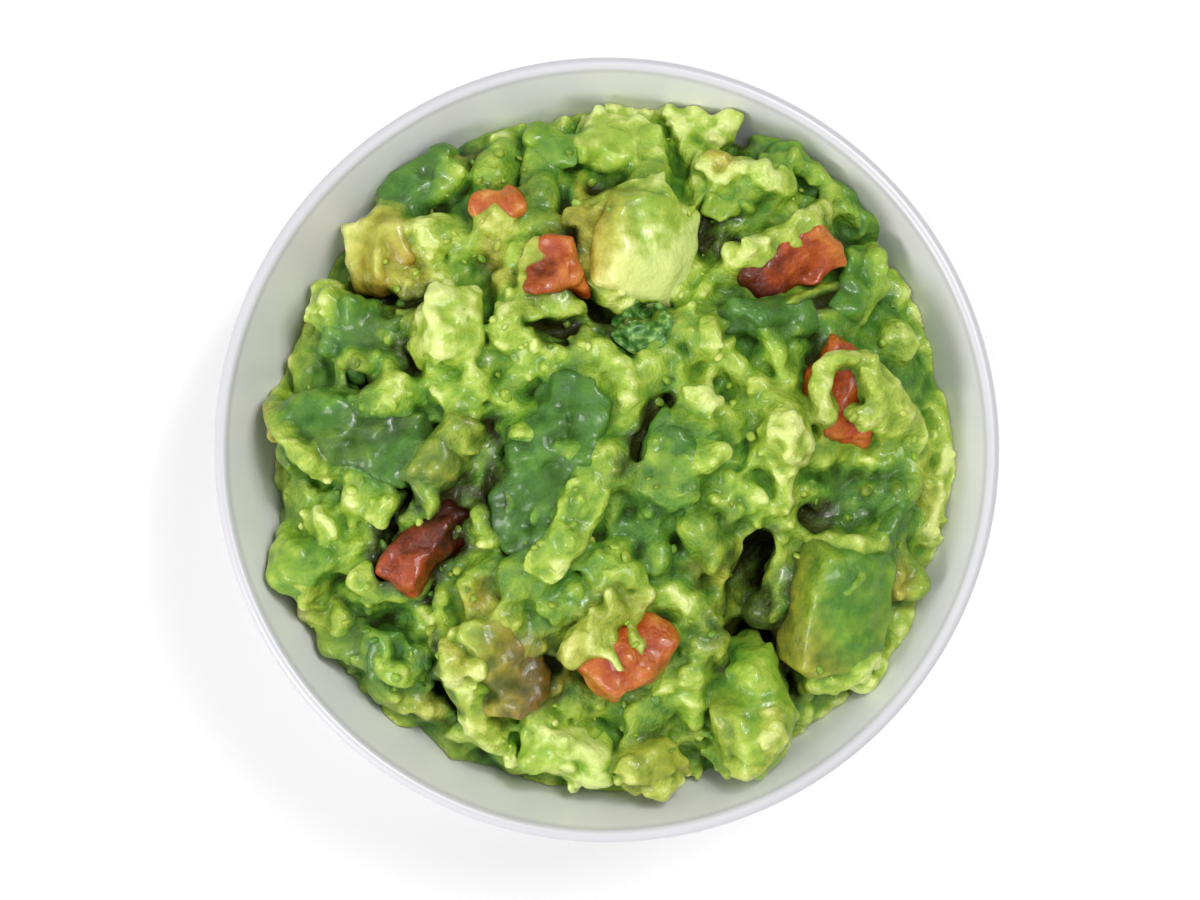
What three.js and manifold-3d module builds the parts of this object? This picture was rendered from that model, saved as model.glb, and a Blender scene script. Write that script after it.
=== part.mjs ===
// A small white bowl heaped with chunky guacamole: a mash of avocado that holds avocado pieces and
// diced tomato, with a small herb leaf on it. Units are millimetres and +Z is up. The bowl stands on its
// foot ring at z = 0, and its axis is the Z axis.
import * as THREE from "three";
import { mergeVertices } from "three/addons/utils/BufferGeometryUtils.js";
import Module from "manifold-3d";

const wasm = await Module();
wasm.setup();

// ---- driving dimensions ----

const BOWL = {
  radius: 60, // to the outside of the rim
  height: 48,
  rimWall: 2.2, // the wall's thickness at the rim, which ends in a full round
  baseWall: 4.4, // the wall's thickness above the foot
  rimLean: 24, // degrees that the wall leans out of upright at the rim
  baseRise: 25, // degrees that the wall climbs where it leaves the foot
  footRadius: 28,
  footHeight: 3,
  footWidth: 3.2,
  footRecess: 1.8,
  floor: 6.2, // the height of the inside at the middle
};
const HEAP = {
  edge: 38, // the height at which the mash meets the wall
  reach: 52.7, // the radius of that line
  rise: 17.5, // from that line to the middle of the dome
  roundness: 2.5, // above 2, so that the dome is flatter in the middle and steeper at its edge
  steepness: 0.72,
};
const SWELL = { broad: 0.9, small: 0.5 }; // the two heights of the spooned surface's waves
const GAP = 0.3; // kept between pieces that touch
const LONG_PIECE = 18; // a longer piece is cut with finer facets
const TURNS = 48; // segments around the bowl and the heap
const ABOVE_EVERYTHING = 90;

// Each piece says where its middle is in plan, its length, width and thickness, how far its length turns
// from +X, how it leans about its length and about its width, and how far its top stands above the mash.
// Angles are in degrees.
const AVOCADO_PIECES = [
  { at: [4.4, 31], size: [18.5, 17, 15], turn: -12, lean: [-4, 30], proud: 3.6 },
  { at: [-34.3, 29.8], size: [13, 12.5, 10], turn: 12, lean: [-12, -10], proud: 2.8 },
  { at: [-23.4, 18.6], size: [13.5, 10.5, 11], turn: 82, lean: [10, 0], proud: 3.8 },
  { at: [-36, 17.4], size: [15.5, 12, 9], turn: -14, lean: [8, -14], proud: 2.2 },
  { at: [-38, 1.6], size: [25, 15, 9], turn: -8, lean: [-4, -14], proud: 1.8 },
  { at: [-7.6, -3.4], size: [34, 18, 12], turn: 73, lean: [-22, -4], proud: 3.4 },
  { at: [11, -2], size: [18, 12.5, 11], turn: 70, lean: [-8, 4], proud: 2.4 },
  { at: [35.2, -24.2], size: [24, 16, 13], turn: 78, lean: [24, -12], proud: 4.2 },
  { at: [21.2, -39], size: [20.5, 11.5, 11], turn: 104, lean: [0, 24], proud: 3.4 },
  { at: [-17, -32.6], size: [17.5, 14.5, 13], turn: -62, lean: [14, 10], proud: 3.6 },
  { at: [-41, -27.4], size: [13.5, 10.5, 9], turn: -32, lean: [16, -8], proud: 2.6 },
  { at: [41.6, -9.6], size: [12.5, 8.5, 8], turn: 74, lean: [-12, 0], proud: 2.2 },
  { at: [31.6, 39.4], size: [24, 9.5, 9], turn: -40, lean: [18, 4], proud: 2.4 },
  { at: [-5.8, -45.4], size: [13.5, 10.5, 9], turn: -14, lean: [24, 4], proud: 3.4 },
  { at: [7.4, -47.2], size: [11.5, 10.5, 9], turn: 30, lean: [26, 8], proud: 2.8 },
  { at: [2.4, 47], size: [13, 9.5, 8], turn: -8, lean: [-26, 4], proud: 2.6 },
  { at: [-27.6, 40.6], size: [15, 8.5, 8], turn: 38, lean: [-20, 0], proud: 1.8 },
  { at: [-9.4, 44.4], size: [14, 8, 8], turn: 78, lean: [0, 14], proud: 2.2 },
  { at: [20.2, 39.4], size: [14.5, 11, 10], turn: -10, lean: [-6, 4], proud: 3 },
  { at: [38.6, 25.4], size: [15, 7.5, 9], turn: 84, lean: [8, 6], proud: 1.8 },
  { at: [23.6, 19.8], size: [15, 7.5, 8], turn: -6, lean: [6, 0], proud: 1.2 },
  { at: [-24, -0.6], size: [14, 7, 8], turn: 58, lean: [-10, 0], proud: 2 },
  { at: [-45.4, -16.6], size: [11, 8.5, 8], turn: 38, lean: [10, -14], proud: 2.2 },
  { at: [-31.2, -31.6], size: [12.5, 10, 9], turn: -12, lean: [8, 0], proud: 1.8 },
];
const TOMATO_DICE = [
  { at: [27.4, 29.4], size: [16.5, 9, 8], turn: 25, lean: [16, 6], proud: 3.4 },
  { at: [36.8, 8.6], size: [15, 13, 9], turn: -30, lean: [0, 12], proud: 3.8 },
  { at: [-27.4, -13.8], size: [17, 8.5, 9], turn: 58, lean: [-14, 0], proud: 2 },
  { at: [2.2, -30.8], size: [16, 14.5, 11], turn: 44, lean: [-8, 10], proud: 4.6 },
  { at: [-8.2, 27.6], size: [10, 8, 8], turn: 6, lean: [-6, -8], proud: 3.6 },
  { at: [-15.8, 36.2], size: [7.5, 6.5, 6], turn: 18, lean: [-14, -6], proud: 2.6 },
];
const HERB_LEAVES = [
  { at: [5.2, 18.8], size: [9.6, 7.4, 1.8], turn: 12, lean: [-4, 4], proud: 1.5 },
];

// ---- materials ----

const PORCELAIN = new THREE.MeshStandardMaterial({ color: 0xf1f2f1, roughness: 0.28, metalness: 0 });
const MASH = new THREE.MeshStandardMaterial({ color: 0x86b53a, roughness: 0.45, metalness: 0 });
const AVOCADO = new THREE.MeshStandardMaterial({ color: 0x57933a, roughness: 0.42, metalness: 0 });
const TOMATO = new THREE.MeshStandardMaterial({ color: 0xc5432a, roughness: 0.35, metalness: 0 });
const HERB = new THREE.MeshStandardMaterial({ color: 0x2f6b2a, roughness: 0.4, metalness: 0 });

// ---- solids ----

// Makes a manifold-3d solid from a closed three.js geometry.
function solidOf(geometry) {
  const bare = new THREE.BufferGeometry();
  bare.setAttribute("position", geometry.getAttribute("position"));
  bare.setIndex(geometry.getIndex());
  const merged = mergeVertices(bare, 1e-4);
  return new wasm.Manifold(
    new wasm.Mesh({
      numProp: 3,
      vertProperties: merged.attributes.position.array,
      triVerts: new Uint32Array(merged.index.array),
    }),
  );
}

// Makes a named three.js mesh from a manifold-3d solid.
function meshOf(name, solid, material) {
  const made = solid.getMesh();
  const geometry = new THREE.BufferGeometry();
  geometry.setAttribute("position", new THREE.BufferAttribute(made.vertProperties, made.numProp));
  geometry.setIndex(new THREE.BufferAttribute(made.triVerts, 1));
  geometry.computeVertexNormals();
  const mesh = new THREE.Mesh(geometry, material);
  mesh.name = name;
  return mesh;
}

// Turns a profile of [radius, z] points, from the axis round to the axis, about the Z axis.
function turned(profile) {
  const points = profile.map(([r, z]) => new THREE.Vector2(r, z));
  return new THREE.LatheGeometry(points, TURNS).rotateX(Math.PI / 2);
}

// ---- the bowl ----

const leanOut = THREE.MathUtils.degToRad(BOWL.rimLean);
const climb = THREE.MathUtils.degToRad(BOWL.baseRise);
const rimRound = BOWL.rimWall / 2;
const rimMiddle = new THREE.Vector2(BOWL.radius - rimRound, BOWL.height - rimRound);

// The outside of the wall, from the foot to the rim: a curve with one bend.
function outerWall() {
  const start = new THREE.Vector2(BOWL.footRadius, BOWL.footHeight);
  const end = new THREE.Vector2(
    rimMiddle.x + rimRound * Math.cos(leanOut),
    rimMiddle.y - rimRound * Math.sin(leanOut),
  );
  // the bend is where the wall's two end directions meet
  const across = end.x - start.x;
  const up = end.y - start.y;
  const reach =
    (across * Math.cos(leanOut) - up * Math.sin(leanOut)) / Math.cos(climb + leanOut);
  const bend = new THREE.Vector2(
    start.x + reach * Math.cos(climb),
    start.y + reach * Math.sin(climb),
  );
  return new THREE.QuadraticBezierCurve(start, bend, end);
}

// The inside of the bowl from the rim to the axis, moved a given distance into the free space.
function innerProfile(inset) {
  const steps = 6;
  const wall = outerWall();
  const profile = [];
  for (let i = steps; i >= 0; i -= 1) {
    const share = i / steps;
    const point = wall.getPoint(share);
    const along = wall.getTangent(share);
    const depth = THREE.MathUtils.lerp(BOWL.baseWall, BOWL.rimWall, share) + inset;
    profile.push([point.x - along.y * depth, point.y + along.x * depth]);
  }
  const [lastRadius, lastHeight] = profile[profile.length - 1];
  const floor = BOWL.floor + inset;
  profile.push([lastRadius * 0.62, THREE.MathUtils.lerp(floor, lastHeight, 0.3)]);
  profile.push([0, floor]);
  return profile;
}

function bowlProfile() {
  const wallSteps = 6;
  const rimStep = 45; // degrees, from the rim's widest point
  const footOut = BOWL.footRadius - 0.5;
  const footIn = footOut - BOWL.footWidth;
  const profile = [
    [0, BOWL.footRecess],
    [footIn - 1, BOWL.footRecess],
    [footIn, 0],
    [footOut, 0],
  ];
  outerWall()
    .getPoints(wallSteps)
    .forEach((point) => profile.push([point.x, point.y]));
  for (let degrees = 0; degrees < 180 - BOWL.rimLean; degrees += rimStep) {
    const angle = THREE.MathUtils.degToRad(degrees);
    profile.push([
      rimMiddle.x + rimRound * Math.cos(angle),
      rimMiddle.y + rimRound * Math.sin(angle),
    ]);
  }
  return profile.concat(innerProfile(0));
}

// The space that food may fill: the bowl's inside, less the gap, and everything straight above it.
function room() {
  const inside = innerProfile(GAP);
  const mouth = inside[0][0];
  return solidOf(
    turned([...inside.reverse(), [mouth, ABOVE_EVERYTHING], [0, ABOVE_EVERYTHING]]),
  );
}

// ---- the mash ----

// The low swell of the spooned surface, as a height above or below the dome. The broad waves bend
// round each other, and no two wavelengths agree, so that the swell doesn't repeat across the bowl.
function swell(x, y) {
  const bentX = x / 7.3 + 1.3 * Math.sin(y / 9.1);
  const bentY = y / 8.2 - 0.9 * Math.sin(x / 11);
  const broad = Math.sin(bentX) * Math.cos(bentY);
  const small = Math.sin(x / 3.4 + y / 5.9 + 2) * Math.cos(y / 3.9 - x / 6.7);
  return SWELL.broad * broad + SWELL.small * small;
}

// The height of the mash at a place in plan. Past its edge it goes on down, to pass under the wall.
function heapTop(x, y) {
  const out = Math.hypot(x, y) / HEAP.reach;
  const inside = Math.max(0, 1 - out ** HEAP.roundness);
  const dome = HEAP.edge + HEAP.rise * inside ** HEAP.steepness;
  const past = Math.max(0, out - 1) * HEAP.reach;
  return dome - past + swell(x, y);
}

// The heap down to well below the bowl's inside, with its surface on rings about the axis.
function heap() {
  const rings = 11;
  const widest = BOWL.radius;
  const profile = [[0, -ABOVE_EVERYTHING / 2]];
  profile.push([widest, -ABOVE_EVERYTHING / 2]);
  for (let i = rings; i >= 0; i -= 1) {
    profile.push([(widest * i) / rings, 1]);
  }
  const geometry = turned(profile);
  const position = geometry.getAttribute("position");
  for (let i = 0; i < position.count; i += 1) {
    if (position.getZ(i) > 0) {
      position.setZ(i, heapTop(position.getX(i), position.getY(i)));
    }
  }
  return solidOf(geometry);
}

// ---- the pieces ----

// Numbers from 0 to 1 that are the same each time, for the uneven corners of each cut piece.
function repeatable(seed) {
  let state = seed * 7919 + 17;
  return () => {
    state = (state * 16807) % 2147483647;
    return state / 2147483647;
  };
}

// A knife-cut block with rounded edges. Squareness 2 is an egg and 8 is nearly a box. Each corner is a
// little off its place, by unevenness as a share of the size, and grow makes the block larger all round.
// A long block has more facets.
function cutBlock(size, squareness, unevenness, seed, grow) {
  const next = repeatable(seed);
  const corners = Array.from({ length: 8 }, () =>
    new THREE.Vector3(next() - 0.5, next() - 0.5, next() - 0.5).multiplyScalar(2 * unevenness),
  );
  const half = size.map((side) => side / 2);
  const facets = size[0] > LONG_PIECE ? 3 : 2;
  const geometry = new THREE.BoxGeometry(2, 2, 2, facets, facets, facets);
  const position = geometry.getAttribute("position");
  const point = new THREE.Vector3();
  for (let i = 0; i < position.count; i += 1) {
    point.fromBufferAttribute(position, i);
    const round =
      (Math.abs(point.x) ** squareness + Math.abs(point.y) ** squareness + Math.abs(point.z) ** squareness) **
      (-1 / squareness);
    point.multiplyScalar(round);
    const shift = new THREE.Vector3();
    corners.forEach((corner, n) => {
      const share =
        ((1 + (n & 1 ? point.x : -point.x)) *
          (1 + (n & 2 ? point.y : -point.y)) *
          (1 + (n & 4 ? point.z : -point.z))) /
        8;
      shift.addScaledVector(corner, share);
    });
    point.add(shift);
    position.setXYZ(i, point.x * (half[0] + grow), point.y * (half[1] + grow), point.z * (half[2] + grow));
  }
  return geometry;
}

// The solid of one piece where it lies, grown all round by the given distance.
function placed(piece, squareness, unevenness, seed, grow) {
  const [x, y] = piece.at;
  const tall = piece.size[2] / 2;
  const turn = new THREE.Euler(
    THREE.MathUtils.degToRad(piece.lean[0]),
    THREE.MathUtils.degToRad(piece.lean[1]),
    THREE.MathUtils.degToRad(piece.turn),
    "ZYX",
  );
  const place = new THREE.Matrix4()
    .makeTranslation(x, y, heapTop(x, y) + piece.proud - tall)
    .multiply(new THREE.Matrix4().makeRotationFromEuler(turn));
  return solidOf(cutBlock(piece.size, squareness, unevenness, seed, grow).applyMatrix4(place));
}

// ---- the assembly ----

const KINDS = [
  { kind: "tomato", pieces: TOMATO_DICE, material: TOMATO, squareness: 6, unevenness: 0.16 },
  { kind: "avocado", pieces: AVOCADO_PIECES, material: AVOCADO, squareness: 4, unevenness: 0.14 },
  { kind: "herb", pieces: HERB_LEAVES, material: HERB, squareness: 3, unevenness: 0.1 },
];

function build() {
  const group = new THREE.Group();
  group.name = "guacamole_in_bowl";
  group.add(meshOf("bowl", solidOf(turned(bowlProfile())), PORCELAIN));

  const inside = room();
  let mash = heap().intersect(inside);
  const pockets = [];
  KINDS.forEach(({ kind, pieces, material, squareness, unevenness }, family) => {
    pieces.forEach((piece, i) => {
      const seed = 100 * family + i + 1;
      let solid = placed(piece, squareness, unevenness, seed, 0).intersect(inside);
      pockets.forEach((pocket) => {
        solid = solid.subtract(pocket);
      });
      const pocket = placed(piece, squareness, unevenness, seed, GAP * 1.5);
      pockets.push(pocket);
      mash = mash.subtract(pocket);
      group.add(meshOf(`${kind}_${String(i + 1).padStart(2, "0")}`, solid, material));
    });
  });
  group.add(meshOf("mash", mash, MASH));
  return group;
}

export default build();
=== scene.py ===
"""The looks of a small white bowl heaped with chunky guacamole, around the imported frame.

The mash is a field: a signed distance with two tints, on a grid of small cubes. A heap is written
first. Lobes, a coat on each piece, ridges and lumps are joined to it, and pits and creases are cut.
The field is then bent by small shifts, gets its grains and bumps, and is taken as a mesh. Lengths are
millimetres until a mesh is made, and the frame's are metres.
"""

import math

import bpy
import numpy as np
import openvdb
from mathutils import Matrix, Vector


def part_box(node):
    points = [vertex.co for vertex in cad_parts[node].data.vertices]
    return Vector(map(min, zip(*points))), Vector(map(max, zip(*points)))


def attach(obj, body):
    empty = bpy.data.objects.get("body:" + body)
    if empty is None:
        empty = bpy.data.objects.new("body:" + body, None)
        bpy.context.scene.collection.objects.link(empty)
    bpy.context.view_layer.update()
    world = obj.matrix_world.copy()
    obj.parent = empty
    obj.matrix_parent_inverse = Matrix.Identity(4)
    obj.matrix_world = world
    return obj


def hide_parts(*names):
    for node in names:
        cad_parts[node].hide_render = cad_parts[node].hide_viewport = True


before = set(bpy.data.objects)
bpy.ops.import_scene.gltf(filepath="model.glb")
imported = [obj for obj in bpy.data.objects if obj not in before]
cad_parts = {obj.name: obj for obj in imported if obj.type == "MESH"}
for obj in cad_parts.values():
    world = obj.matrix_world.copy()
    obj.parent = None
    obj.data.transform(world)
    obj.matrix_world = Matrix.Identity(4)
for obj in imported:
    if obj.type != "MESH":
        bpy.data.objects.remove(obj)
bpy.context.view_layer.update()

MM = 0.001
AVOCADO = sorted(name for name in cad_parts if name.startswith("avocado"))
TOMATO = sorted(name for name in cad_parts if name.startswith("tomato"))


# ---- the frame's sizes, in millimetres ----


def node_box(node):
    low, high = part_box(node)
    return np.array(low) / MM, np.array(high) / MM


def middle(node):
    low, high = node_box(node)
    return (low + high) / 2


BOWL_LOW, BOWL_HIGH = node_box("bowl")
RADIUS = (BOWL_HIGH[0] - BOWL_LOW[0]) / 2
HEIGHT = BOWL_HIGH[2]
RIM_WALL = 2.2
BASE_WALL = 4.4
RIM_DEGREES = 24
RIM_LEAN = math.radians(RIM_DEGREES)
BASE_RISE = math.radians(25)
FOOT_RADIUS = 0.4667 * RADIUS
FOOT_HEIGHT = 3.0
FOOT_WIDTH = 3.2
FOOT_RECESS = 1.8
FLOOR = 6.2
BOWL_TURNS = 180


# ---- the bowl ----


def outer_wall(share):
    """The outside of the wall at a share of its length, and its direction: a curve with one bend."""
    rim = RIM_WALL / 2
    start = np.array([FOOT_RADIUS, FOOT_HEIGHT])
    end = np.array([
        RADIUS - rim + rim * math.cos(RIM_LEAN),
        HEIGHT - rim - rim * math.sin(RIM_LEAN),
    ])
    across, up = end - start
    reach = across * math.cos(RIM_LEAN) - up * math.sin(RIM_LEAN)
    reach /= math.cos(BASE_RISE + RIM_LEAN)
    bend = start + reach * np.array([math.cos(BASE_RISE), math.sin(BASE_RISE)])
    point = (1 - share) ** 2 * start + 2 * share * (1 - share) * bend + share**2 * end
    along = (1 - share) * (bend - start) + share * (end - bend)
    return point, along / np.linalg.norm(along)


def inner_wall(share):
    """The inside of the wall, across from the same share of the outside."""
    point, along = outer_wall(share)
    depth = BASE_WALL + (RIM_WALL - BASE_WALL) * share
    return point + depth * np.array([-along[1], along[0]])


INSIDE = np.array([inner_wall(share) for share in np.linspace(0, 1, 60)])


def wall_radius(z):
    """The radius of the bowl's inside at a height, on above the rim along the wall's lean."""
    radius = np.interp(z, INSIDE[:, 1], INSIDE[:, 0])
    return radius + np.maximum(z - INSIDE[-1, 1], 0) * math.tan(RIM_LEAN)


def bowl_profile():
    """The bowl's section from the axis under the foot, round the rim and back to the axis inside."""
    foot_out = FOOT_RADIUS - 0.5
    foot_in = foot_out - FOOT_WIDTH
    soft = 0.5
    profile = [(0, FOOT_RECESS), (foot_in * 0.5, FOOT_RECESS), (foot_in - 1.6, FOOT_RECESS)]
    profile += [(foot_in - 0.9, FOOT_RECESS - 0.15), (foot_in - 0.3, 0.45)]
    profile += [(foot_in + 0.15, 0.06), (foot_in + soft, 0), (foot_out - soft, 0)]
    profile += [(foot_out - 0.15, 0.08), (foot_out, 0.4), (foot_out + 0.1, 1.8), (foot_out + 0.25, 2.6)]
    profile += [tuple(outer_wall(share)[0]) for share in np.linspace(0.015, 1, 34)]
    rim = RIM_WALL / 2
    for degrees in np.linspace(-RIM_DEGREES, 180 - RIM_DEGREES, 16)[1:-1]:
        angle = math.radians(degrees)
        profile.append((RADIUS - rim + rim * math.cos(angle), HEIGHT - rim + rim * math.sin(angle)))
    profile += [tuple(inner_wall(share)) for share in np.linspace(1, 0, 34)]
    last = inner_wall(0)
    for share in np.linspace(0, 1, 9)[1:]:
        bowed = FLOOR + (last[1] - FLOOR) * (1 - share) ** 2.2
        profile.append((last[0] * (1 - share), bowed))
    return profile


def add_numbers(mesh, numbers):
    """Keeps named numbers on a mesh's points."""
    for key, values in numbers.items():
        layer = mesh.attributes.new(key, "FLOAT", "POINT")
        layer.data.foreach_set("value", np.asarray(values, np.float32))


def new_mesh(name, points, faces):
    """A smooth mesh from points in millimetres."""
    mesh = bpy.data.meshes.new(name)
    points = np.asarray(points, np.float32) * MM
    faces = np.asarray(faces)
    mesh.vertices.add(len(points))
    mesh.vertices.foreach_set("co", points.ravel())
    mesh.loops.add(faces.size)
    mesh.loops.foreach_set("vertex_index", faces.astype(np.int32).ravel())
    mesh.polygons.add(len(faces))
    mesh.polygons.foreach_set("loop_start", np.arange(0, faces.size, faces.shape[1], dtype=np.int32))
    mesh.polygons.foreach_set("use_smooth", np.ones(len(faces), bool))
    mesh.update(calc_edges=True)
    piece = bpy.data.objects.new(name, mesh)
    bpy.context.scene.collection.objects.link(piece)
    return piece


def points_of(piece):
    """A mesh's points, in millimetres."""
    points = np.empty(len(piece.data.vertices) * 3, np.float32)
    piece.data.vertices.foreach_get("co", points)
    return points.reshape(-1, 3) / MM


def turned_shape(profile, turns):
    """Points and triangles turned about the Z axis, from a profile that starts and ends on it."""
    points = [(0, 0, profile[0][1])]
    for radius, z in profile[1:-1]:
        for turn in range(turns):
            angle = 2 * math.pi * turn / turns
            points.append((radius * math.cos(angle), radius * math.sin(angle), z))
    points.append((0, 0, profile[-1][1]))
    faces = []
    last = len(points) - 1
    top = last - turns
    for turn in range(turns):
        after = (turn + 1) % turns
        faces.append((0, 1 + after, 1 + turn))
        for low in range(1, top, turns):
            high = low + turns
            faces.append((low + turn, low + after, high + after))
            faces.append((low + turn, high + after, high + turn))
        faces.append((top + turn, top + after, last))
    return np.array(points), np.array(faces)


# ---- the field ----

# A box of cubes STEP across holds the top of the food: the signed distance to the mash, its shade and
# its warmth, and the distance to the nearest piece.
STEP = 0.42
LOW = np.array([-57.6, -57.6, 32.0])
HIGH = np.array([57.6, 57.6, 62.6])
COUNT = np.ceil((HIGH - LOW) / STEP).astype(int)
GRID = [(LOW[axis] + STEP * np.arange(COUNT[axis])).astype(np.float32) for axis in range(3)]
FAR = 9.0
distance = np.full(COUNT, FAR, np.float32)
tint = np.full(COUNT, 0.5, np.float32)
warm = np.zeros(COUNT, np.float32)
chunks = np.full(COUNT, FAR, np.float32)


def window(low, high):
    """The part of the grid in a box, and its x, y and z, shaped to spread over it."""
    first = np.clip(np.floor((np.asarray(low) - LOW) / STEP).astype(int), 0, COUNT)
    last = np.clip(np.ceil((np.asarray(high) - LOW) / STEP).astype(int) + 1, 0, COUNT)
    part = tuple(slice(a, b) for a, b in zip(first, last))
    x, y, z = (GRID[axis][part[axis]] for axis in range(3))
    return part, x[:, None, None], y[None, :, None], z[None, None, :]


def around(centre, reach):
    """The part of the grid within reach of a place."""
    return window(np.subtract(centre, reach), np.add(centre, reach))


def cube_at(x, y, z):
    """The indexes of the cube at a place, the nearest one where that is above or below the grid."""
    layer = int(np.clip((z - LOW[2]) / STEP, 0, COUNT[2] - 1))
    return int((x - LOW[0]) / STEP), int((y - LOW[1]) / STEP), layer


def anywhere(random, radius):
    """A random place in plan, in a circle about the middle."""
    angle = random.uniform(0, 2 * math.pi)
    radius *= math.sqrt(random.uniform(0, 1))
    return radius * math.cos(angle), radius * math.sin(angle)


def noise(cell, seed):
    """Smooth noise over the whole grid with features about cell mm across and a spread of 1."""
    random = np.random.default_rng(seed)
    lattice = random.standard_normal([int(n * STEP / cell) + 5 for n in COUNT]).astype(np.float32)
    for axis, count in enumerate(COUNT):
        place = np.arange(count) * STEP / cell + 1.0
        knot = place.astype(int)
        t = place - knot
        weights = np.zeros((count, lattice.shape[axis]), np.float32)
        for offset, weight in (
            (-1, (1 - t) ** 3 / 6),
            (0, (3 * t**3 - 6 * t**2 + 4) / 6),
            (1, (-3 * t**3 + 3 * t**2 + 3 * t + 1) / 6),
            (2, t**3 / 6),
        ):
            weights[np.arange(count), knot + offset] += weight
        lattice = np.moveaxis(np.tensordot(weights, lattice, axes=(1, axis)), 0, axis)
    return np.ascontiguousarray(lattice / lattice.std())


BLEED = 1.3
SEAM = 2.0


def join(part, shape, blend, shade=0.5, warmth=0.0):
    """Joins a shape to the mash with a soft seam, and its tints with it over a wider one."""
    old = distance[part]
    share = np.clip(0.5 + 0.5 * (old - shape) / blend, 0, 1)
    distance[part] = old + (shape - old) * share - blend * share * (1 - share)
    share = np.clip(0.5 + 0.5 * (old - shape) / (blend + BLEED), 0, 1)
    tint[part] += (shade - tint[part]) * share
    warm[part] += (warmth - warm[part]) * share


def cut_and_paint_shade(part, shape, blend, shade=0.04, warmth=0.25):
    """Cuts a shape out of the mash with a soft edge, and paints its sides dark and brown as painted shade.
    """
    old = distance[part]
    share = np.clip(0.5 - 0.5 * (old + shape) / blend, 0, 1)
    distance[part] = old - (old + shape) * share + blend * share * (1 - share)
    # The sides are painted dark and brown: painted shade in the cut.
    share = 0.9 * np.clip(1 - 0.7 * shape, 0, 1)
    tint[part] += (shade - tint[part]) * share
    warm[part] += (warmth - warm[part]) * share


def turned(yaw, pitch=0.0, roll=0.0):
    """A turn by these angles, in radians, as a matrix whose rows are the turned axes."""
    cy, sy, cp, sp = math.cos(yaw), math.sin(yaw), math.cos(pitch), math.sin(pitch)
    cr, sr = math.cos(roll), math.sin(roll)
    return np.array([
        [cy * cp, sy * cp, -sp],
        [cy * sp * sr - sy * cr, sy * sp * sr + cy * cr, cp * sr],
        [cy * sp * cr + sy * sr, sy * sp * cr - cy * sr, cp * cr],
    ])


def egg(centre, radii, axes, x, y, z):
    """The distance to an egg with these half-axes."""
    x, y, z = x - centre[0], y - centre[1], z - centre[2]
    near = far = 0
    for radius, (ax, ay, az) in zip(radii, axes):
        along = (ax * x + ay * y + az * z) / radius
        near = near + along * along
        far = far + (along / radius) ** 2
    near = np.sqrt(near)
    return near * (near - 1) / np.sqrt(far + 1e-9)


def surface_height(field):
    """The height of a field's top surface over each column of the grid."""
    solid = field < 0
    found = solid.any(axis=2)
    top = COUNT[2] - 1 - np.argmax(solid[:, :, ::-1], axis=2)
    above = np.minimum(top + 1, COUNT[2] - 1)
    columns = np.indices(top.shape)
    inner = field[columns[0], columns[1], top]
    outer = field[columns[0], columns[1], above]
    share = inner / np.minimum(inner - outer, -1e-6)
    return np.where(found, LOW[2] + STEP * (top + np.clip(share, 0, 1)), LOW[2])


def at(heights, x, y):
    """Reads a map of heights at a place in plan."""
    u = np.clip((x - LOW[0]) / STEP, 0, COUNT[0] - 1.001)
    v = np.clip((y - LOW[1]) / STEP, 0, COUNT[1] - 1.001)
    i, j = int(u), int(v)
    s, t = u - i, v - j
    low = heights[i, j] * (1 - s) + heights[i + 1, j] * s
    high = heights[i, j + 1] * (1 - s) + heights[i + 1, j + 1] * s
    return low * (1 - t) + high * t


def sample(field, points):
    """A field's values at points, in millimetres."""
    spot = np.clip((points - LOW) / STEP, 0, np.array(field.shape) - 1.001).astype(np.float32)
    cell = spot.astype(int)
    share = spot - cell
    flat = field.ravel()
    jumps = np.array([field.shape[1] * field.shape[2], field.shape[2], 1])
    start = cell @ jumps
    total = np.zeros(len(points), np.float32)
    for corner in np.ndindex(2, 2, 2):
        weights = [share[:, axis] if corner[axis] else 1 - share[:, axis] for axis in range(3)]
        total += weights[0] * weights[1] * weights[2] * flat[start + jumps @ corner]
    return total


def blur(values, reach, times):
    """A soft mean over a few cubes each way."""
    for _ in range(times):
        for axis in range(values.ndim):
            count = values.shape[axis]
            padding = [(reach, reach) if other == axis else (0, 0) for other in range(values.ndim)]
            wide = np.pad(values, padding, mode="edge")
            total = np.cumsum(wide, axis=axis, dtype=np.float64)
            first = np.take(total, range(0, count), axis=axis)
            last = np.take(total, range(2 * reach, 2 * reach + count), axis=axis)
            start = np.take(wide, range(0, count), axis=axis)
            values = ((last - first + start) / (2 * reach + 1)).astype(np.float32)
    return values


def skyline(reach=3):
    """The height of the food's top over each column, made even over a few cubes."""
    return blur(surface_height(np.minimum(distance, chunks)), reach, 1)


def curve(points, steps=4):
    """A smooth run of points through the given ones."""
    points = np.array(points, float)
    padded = np.vstack([2 * points[0] - points[1], points, 2 * points[-1] - points[-2]])
    run = []
    for before, start, end, after in zip(padded, padded[1:], padded[2:], padded[3:]):
        for t in np.arange(steps) / steps:
            run.append(0.5 * (
                2 * start + (end - before) * t
                + (2 * before - 5 * start + 4 * end - after) * t**2
                + (3 * start - before - 3 * end + after) * t**3
            ))
    run.append(points[-1])
    return np.array(run)


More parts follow.
